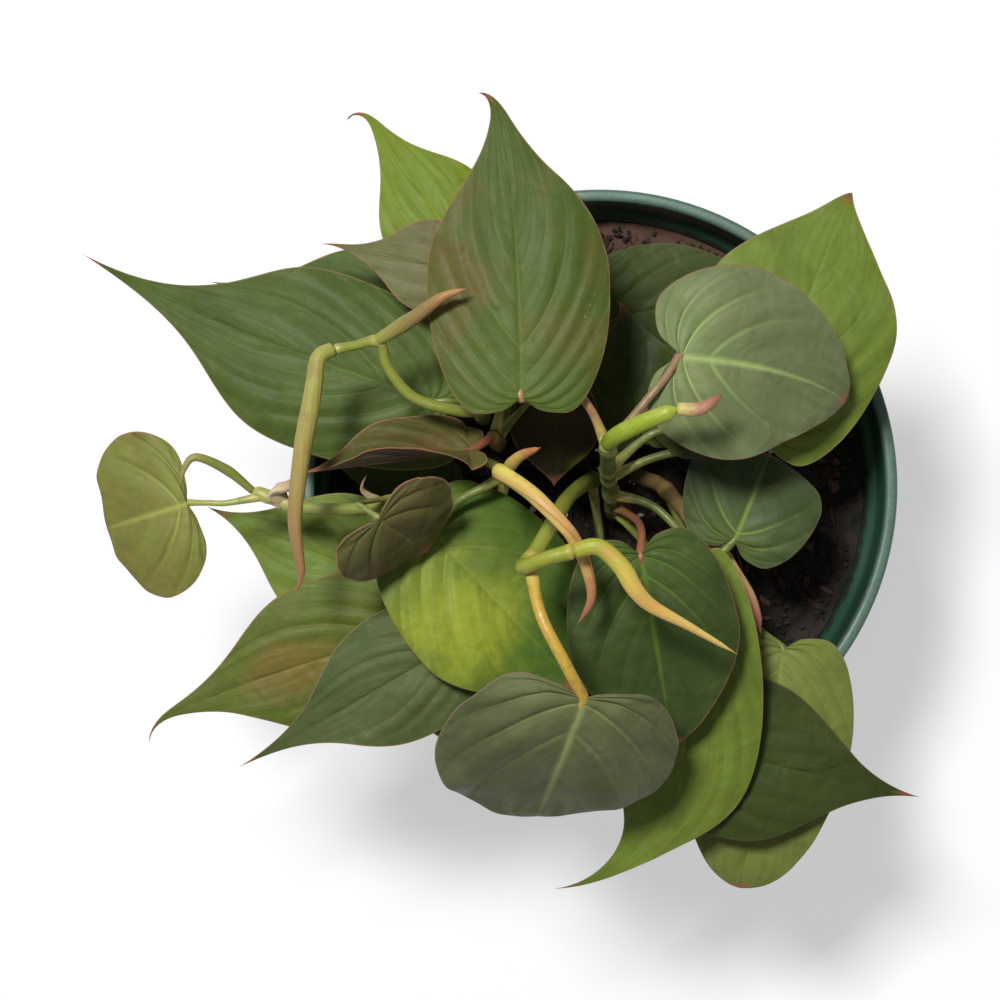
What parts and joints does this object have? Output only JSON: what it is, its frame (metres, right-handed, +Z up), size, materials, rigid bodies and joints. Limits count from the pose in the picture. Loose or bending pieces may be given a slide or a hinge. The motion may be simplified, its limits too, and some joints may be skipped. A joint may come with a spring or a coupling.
{
  "type": "potted philodendron",
  "caption": "Young trailing philodendron with velvety heart-shaped leaves on vines, growing from dark bark mix in a round tapered nursery pot with drain holes.",
  "frame": {"origin": "centre of the pot's underside, on the surface the pot stands on", "axes": "+Z up along the pot's axis; +X to the right and +Y away in a view from straight above, with the far-reaching vine on the -X side"},
  "size_m": [0.211, 0.1979, 0.1851],
  "materials": {
    "pot_plastic": "dark green moulded plastic, satin",
    "potting_mix": "dark brown bark and peat, rough and damp",
    "leaf": "velvety green leaf with paler veins and a pink-brown margin",
    "vine": "smooth green stem, satin",
    "new_growth": "smooth yellow-green to pink rolled leaf or dry papery bract"
  },
  "bodies": {
    "root": {"bract_far": "new_growth", "bract_foot": "new_growth", "bract_near": "new_growth", "bud_back_left": "new_growth", "bud_right": "new_growth", "horn_centre": "new_growth", "leaf_back_right": "leaf", "leaf_brown": "leaf", "leaf_centre": "leaf", "leaf_curved": "leaf", "leaf_far_left": "leaf", "leaf_folded": "leaf", "leaf_front_round": "leaf", "leaf_hanging": "leaf", "leaf_heart": "leaf", "leaf_left_back": "leaf", "leaf_left_long": "leaf", "leaf_left_low": "leaf", "leaf_lower_left": "leaf", "leaf_olive": "leaf", "leaf_reddish": "leaf", "leaf_right_low": "leaf", "leaf_round": "leaf", "leaf_shade_back": "leaf", "leaf_shade_left": "leaf", "leaf_shade_right": "leaf", "leaf_small_centre": "leaf", "leaf_small_right": "leaf", "leaf_strip": "leaf", "leaf_top": "leaf", "leaf_top_left": "leaf", "pot": "pot_plastic", "rolled_leaf_centre": "new_growth", "rolled_leaf_front": "new_growth", "rolled_leaf_left": "new_growth", "sheath_low_right": "new_growth", "sheath_right": "new_growth", "soil": "potting_mix", "tip_left": "new_growth", "vine_back_left": "vine", "vine_centre": "vine", "vine_front": "vine", "vine_left": "vine", "vine_low_right": "vine", "vine_middle": "vine", "vine_right": "vine"}
  },
  "joints": []
}
